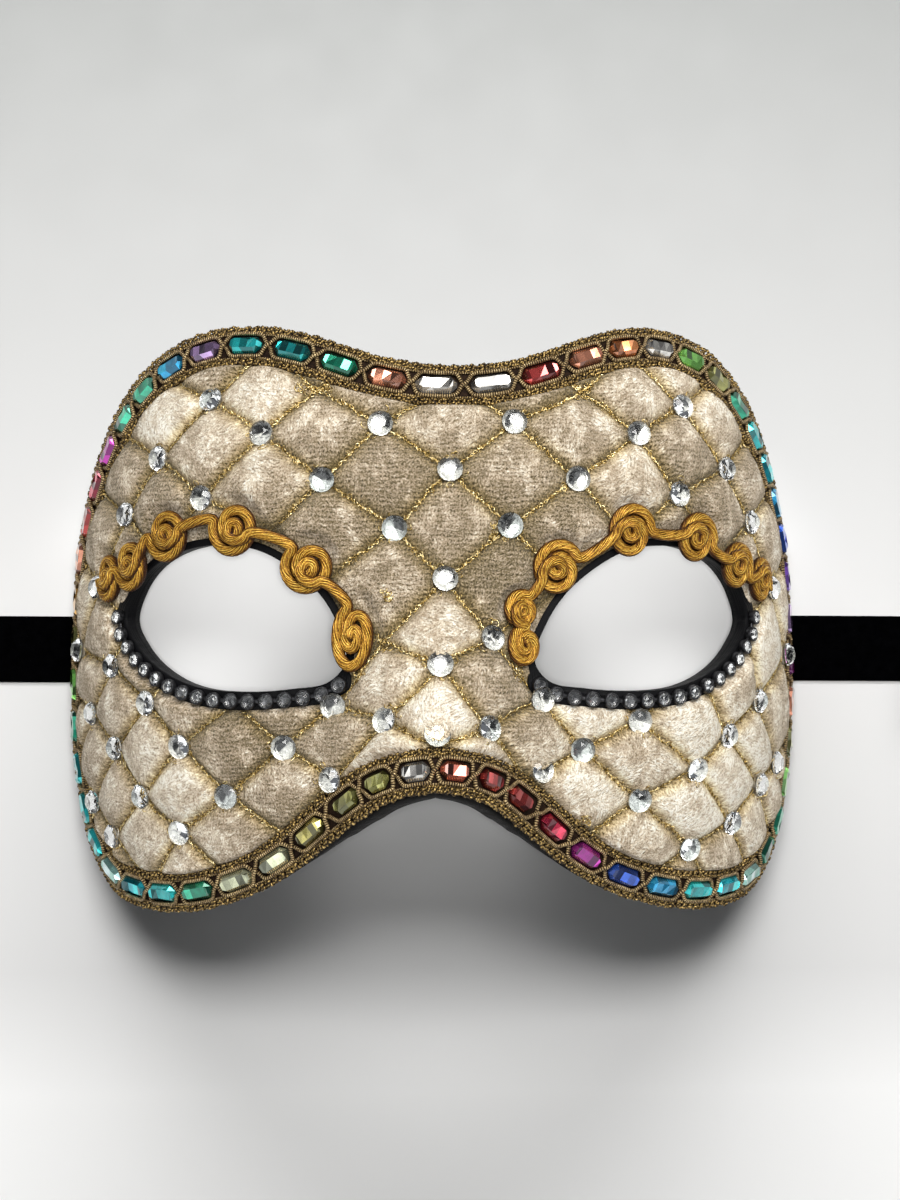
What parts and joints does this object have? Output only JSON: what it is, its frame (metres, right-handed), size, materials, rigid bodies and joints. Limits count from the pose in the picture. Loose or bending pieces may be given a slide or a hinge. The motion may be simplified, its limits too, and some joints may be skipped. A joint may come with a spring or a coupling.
{
  "type": "half mask",
  "caption": "Carnival half mask of papier-mache in quilted cream velvet, with gold braid, scrolled gimp, glass stones and black tie ribbons, lying face up.",
  "frame": {"origin": "middle of the mask's footprint on the surface it lies on", "axes": "+Z out of the face, +Y towards the forehead, +X to the viewer's right, across the face"},
  "size_m": [0.324, 0.1318, 0.076],
  "materials": {
    "black_card": "papier-mache painted matt black",
    "velvet": "crushed champagne velvet, quilted with gold thread",
    "gold_braid": "light gold metallic braid with foil-backed gems",
    "black_satin": "black satin binding",
    "gold_gimp": "twisted antique gold cord",
    "cut_glass": "clear faceted glass, foil-backed",
    "ribbon_satin": "black satin ribbon"
  },
  "bodies": {
    "root": {"mask_shell": "black_card", "velvet_cover": "velvet", "outer_braid": "gold_braid", "eye_binding_left": "black_satin", "eye_binding_right": "black_satin", "eye_gimp_left": "gold_gimp", "eye_gimp_right": "gold_gimp", "cup_chain_left": "cut_glass", "cup_chain_right": "cut_glass", "stone_01": "cut_glass", "stone_02": "cut_glass", "stone_03": "cut_glass", "stone_04": "cut_glass", "stone_05": "cut_glass", "stone_06": "cut_glass", "stone_07": "cut_glass", "stone_08": "cut_glass", "stone_09": "cut_glass", "stone_10": "cut_glass", "stone_11": "cut_glass", "stone_12": "cut_glass", "stone_13": "cut_glass", "stone_14": "cut_glass", "stone_15": "cut_glass", "stone_16": "cut_glass", "stone_17": "cut_glass", "stone_18": "cut_glass", "stone_19": "cut_glass", "stone_20": "cut_glass", "stone_21": "cut_glass", "stone_22": "cut_glass", "stone_23": "cut_glass", "stone_24": "cut_glass", "stone_25": "cut_glass", "stone_26": "cut_glass", "stone_27": "cut_glass", "stone_28": "cut_glass", "stone_29": "cut_glass", "stone_30": "cut_glass", "stone_31": "cut_glass", "stone_32": "cut_glass", "stone_33": "cut_glass", "stone_34": "cut_glass", "stone_35": "cut_glass", "stone_36": "cut_glass", "stone_37": "cut_glass", "stone_38": "cut_glass", "stone_39": "cut_glass", "stone_40": "cut_glass", "stone_41": "cut_glass", "stone_42": "cut_glass", "stone_43": "cut_glass", "stone_44": "cut_glass", "ribbon_left": "ribbon_satin", "ribbon_left_folds": "ribbon_satin", "ribbon_right": "ribbon_satin", "ribbon_right_folds": "ribbon_satin"}
  },
  "joints": []
}
